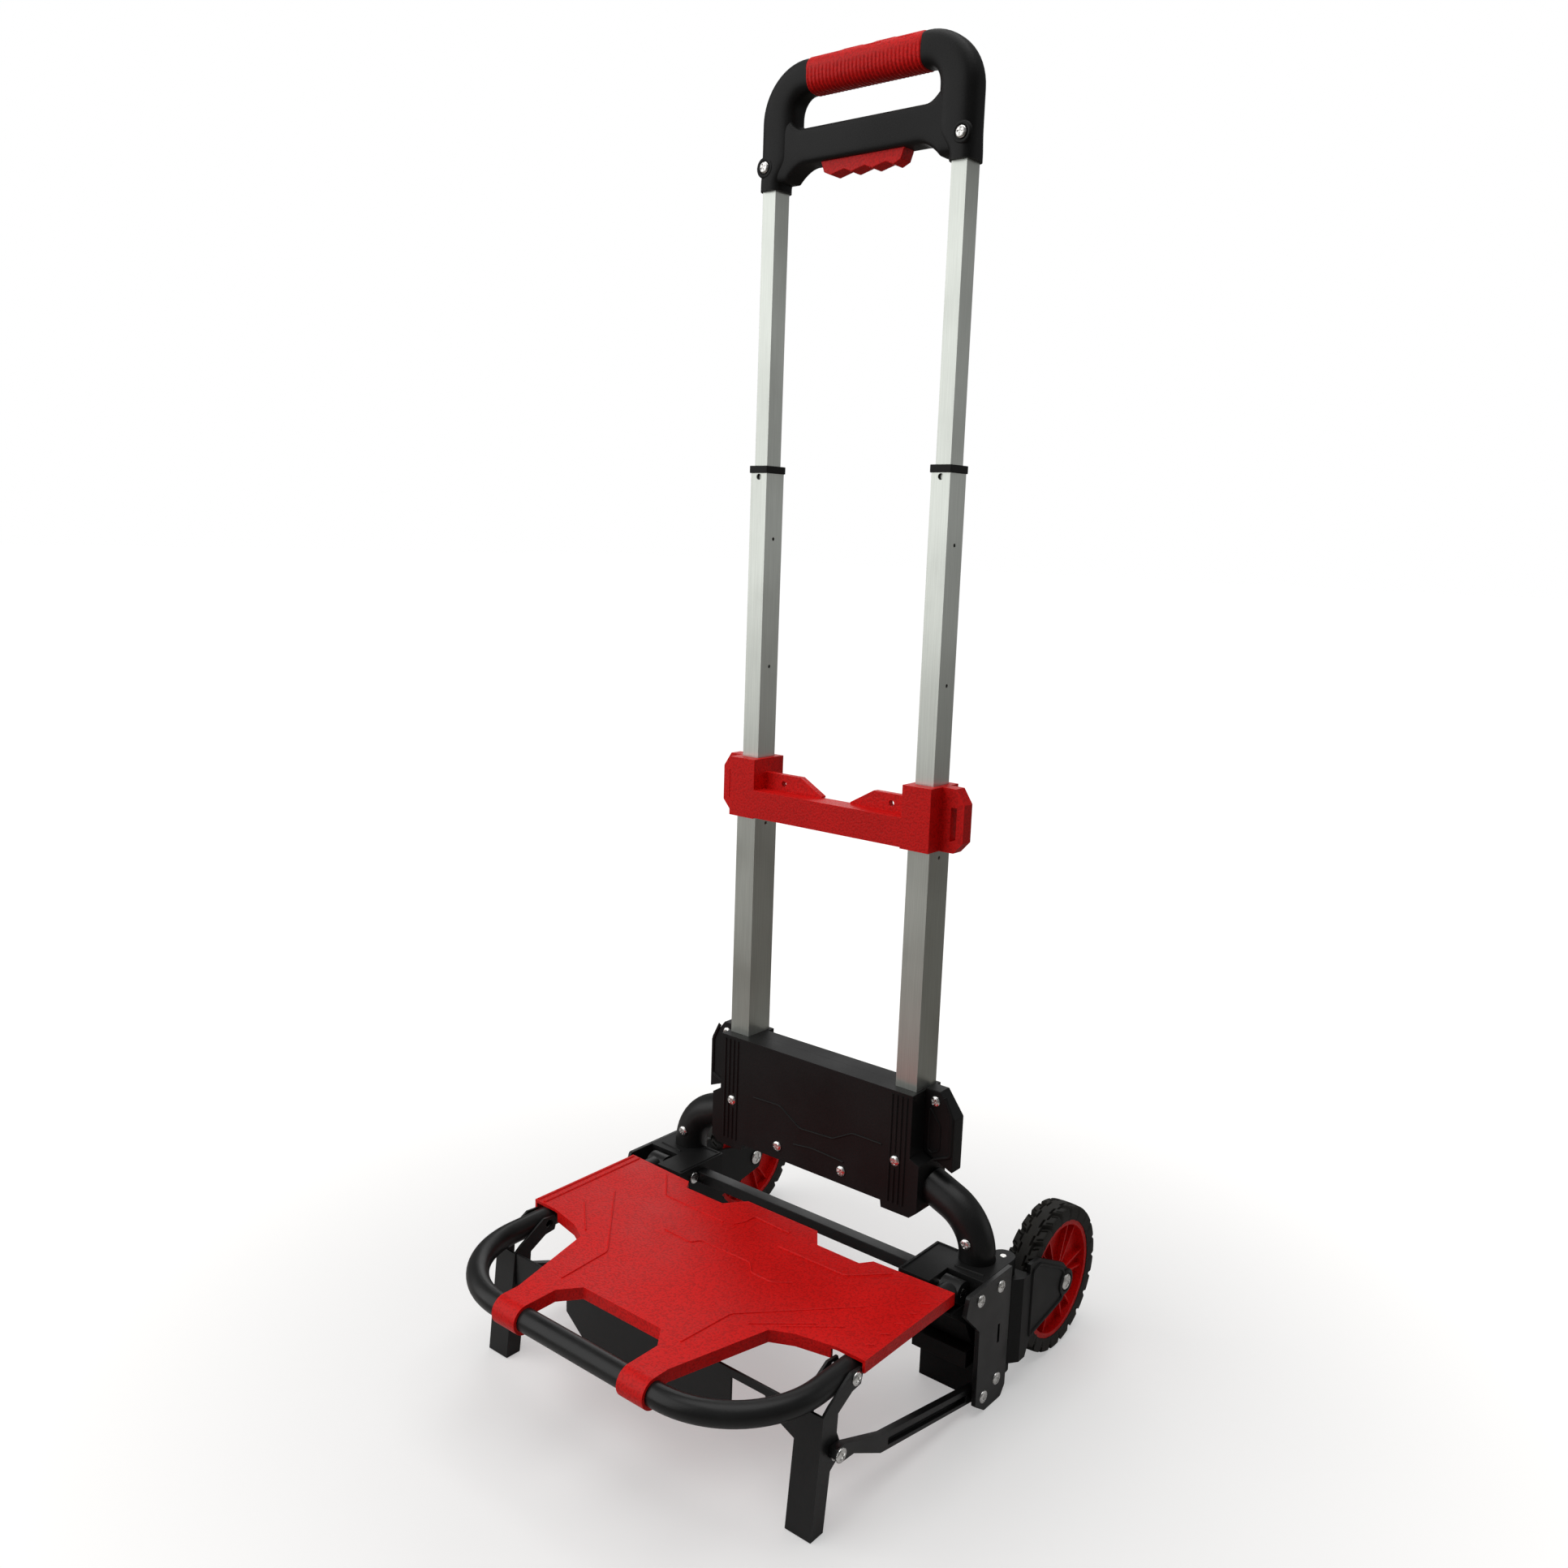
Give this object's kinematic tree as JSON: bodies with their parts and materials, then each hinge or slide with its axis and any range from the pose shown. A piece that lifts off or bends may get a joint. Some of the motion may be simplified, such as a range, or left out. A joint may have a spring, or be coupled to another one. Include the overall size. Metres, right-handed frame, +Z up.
{
  "type": "hand truck",
  "caption": "Folding hand truck with a telescoping handle, a flip-down platform on folding legs, swing-in wheels and a cross brace with cord loops.",
  "frame": {"origin": "on the floor, at the middle of the truck's footprint", "axes": "+X to the right seen from the front, -Y to the front where the platform lies, +Z up"},
  "size_m": [0.388, 0.4632, 1.0533],
  "materials": {
    "aluminium": "satin anodised",
    "black_plastic": "fine texture",
    "red_plastic": "stippled",
    "black_steel": "powder coat",
    "zinc": "bright zinc",
    "tyre": "matt rubber"
  },
  "bodies": {
    "chassis": {"lower_tube_left": "aluminium", "lower_tube_right": "aluminium", "lower_tube_plugs": "black_plastic", "brace": "red_plastic", "housing_front": "black_plastic", "housing_rear": "black_plastic", "side_guard_left": "black_plastic", "side_guard_right": "black_plastic", "arch_tube_left": "black_steel", "arch_tube_right": "black_steel", "arch_bolts": "zinc", "housing_screws": "zinc", "guard_screws": "zinc", "hinge_block_left": "black_plastic", "hinge_block_right": "black_plastic", "side_plate_left": "black_steel", "side_plate_right": "black_steel", "plate_rivets": "zinc", "platform_hinge_pins": "zinc", "link_pivot_pins": "zinc", "swivel_pins": "zinc", "crossbar": "black_steel"},
    "middle_stage": {"middle_tube_left": "aluminium", "middle_tube_right": "aluminium", "middle_tube_collars": "black_plastic", "middle_tube_guides": "black_plastic"},
    "middle_lock": {"middle_lock_pins": "zinc"},
    "upper_stage": {"upper_tube_left": "aluminium", "upper_tube_right": "aluminium", "upper_tube_guides": "black_plastic", "handle_front": "black_plastic", "handle_rear": "black_plastic", "handle_grip": "red_plastic", "handle_screws": "zinc"},
    "upper_lock": {"upper_lock_pins": "zinc"},
    "release": {"trigger": "red_plastic", "release_rods": "zinc"},
    "platform": {"platform_bar": "black_steel", "deck": "red_plastic", "deck_screws": "zinc", "leg_pivot_pins": "zinc"},
    "legs": {"leg_left": "black_steel", "leg_right": "black_steel", "leg_feet": "black_plastic", "leg_web": "black_steel"},
    "left_link": {"link_left": "black_steel", "link_rivet_left": "zinc"},
    "right_link": {"link_right": "black_steel", "link_rivet_right": "zinc"},
    "left_bracket": {"wheel_bracket_left": "black_plastic", "axle_left": "zinc"},
    "right_bracket": {"wheel_bracket_right": "black_plastic", "axle_right": "zinc"},
    "left_wheel": {"tyre_left": "tyre", "rim_left": "red_plastic"},
    "right_wheel": {"tyre_right": "tyre", "rim_right": "red_plastic"}
  },
  "joints": [
    {"name": "platform_fold", "type": "hinge", "parent": "chassis", "child": "platform", "pos_m": [0, 0.0336, 0.1028], "axis": [-1, 0, 0], "range_deg": [0, 90]},
    {"name": "legs_fold", "type": "hinge", "parent": "platform", "child": "legs", "pos_m": [0, -0.1122, 0.1028], "axis": [1, 0, 0], "range_deg": [0, 105.1]},
    {"name": "left_link_swing", "type": "hinge", "parent": "chassis", "child": "left_link", "pos_m": [-0.175, 0.0465, 0.014], "axis": [-1, 0, 0], "range_deg": [0, 68.7]},
    {"name": "right_link_swing", "type": "hinge", "parent": "chassis", "child": "right_link", "pos_m": [0.175, 0.0465, 0.014], "axis": [-1, 0, 0], "range_deg": [0, 68.7]},
    {"name": "left_wheel_fold", "type": "hinge", "parent": "chassis", "child": "left_bracket", "pos_m": [-0.172, 0.091, 0.06], "axis": [0, 0, -1], "range_deg": [0, 90]},
    {"name": "right_wheel_fold", "type": "hinge", "parent": "chassis", "child": "right_bracket", "pos_m": [0.172, 0.091, 0.06], "axis": [0, 0, 1], "range_deg": [0, 90]},
    {"name": "left_wheel_spin", "type": "hinge", "parent": "left_bracket", "child": "left_wheel", "pos_m": [-0.174, 0.1685, 0.0635], "axis": [1, 0, 0], "continuous": true},
    {"name": "right_wheel_spin", "type": "hinge", "parent": "right_bracket", "child": "right_wheel", "pos_m": [0.174, 0.1685, 0.0635], "axis": [1, 0, 0], "continuous": true},
    {"name": "middle_stage_slide", "type": "slide", "parent": "chassis", "child": "middle_stage", "axis": [0, 0, -1], "range_m": [0, 0.235]},
    {"name": "upper_stage_slide", "type": "slide", "parent": "middle_stage", "child": "upper_stage", "axis": [0, 0, -1], "range_m": [0, 0.212]},
    {"name": "trigger_pull", "type": "slide", "parent": "upper_stage", "child": "release", "axis": [0, 0, 1], "range_m": [0, 0.006], "stiffness_N_per_m": 900, "springref_m": -0.002},
    {"name": "upper_lock_travel", "type": "slide", "parent": "upper_stage", "child": "upper_lock", "axis": [0, 1, 0], "range_m": [0, 0.0025], "stiffness_N_per_m": 200},
    {"name": "middle_lock_travel", "type": "slide", "parent": "middle_stage", "child": "middle_lock", "axis": [0, 1, 0], "range_m": [0, 0.0015], "stiffness_N_per_m": 200}
  ],
  "couplings": [
    {"joint": "legs_fold", "follows": "platform_fold", "ratio": 1.1667},
    {"joint": "left_link_swing", "follows": "platform_fold", "ratio": 0.7619},
    {"joint": "right_link_swing", "follows": "platform_fold", "ratio": 0.7619},
    {"joint": "left_wheel_fold", "follows": "platform_fold", "ratio": 1},
    {"joint": "right_wheel_fold", "follows": "platform_fold", "ratio": 1}
  ]
}
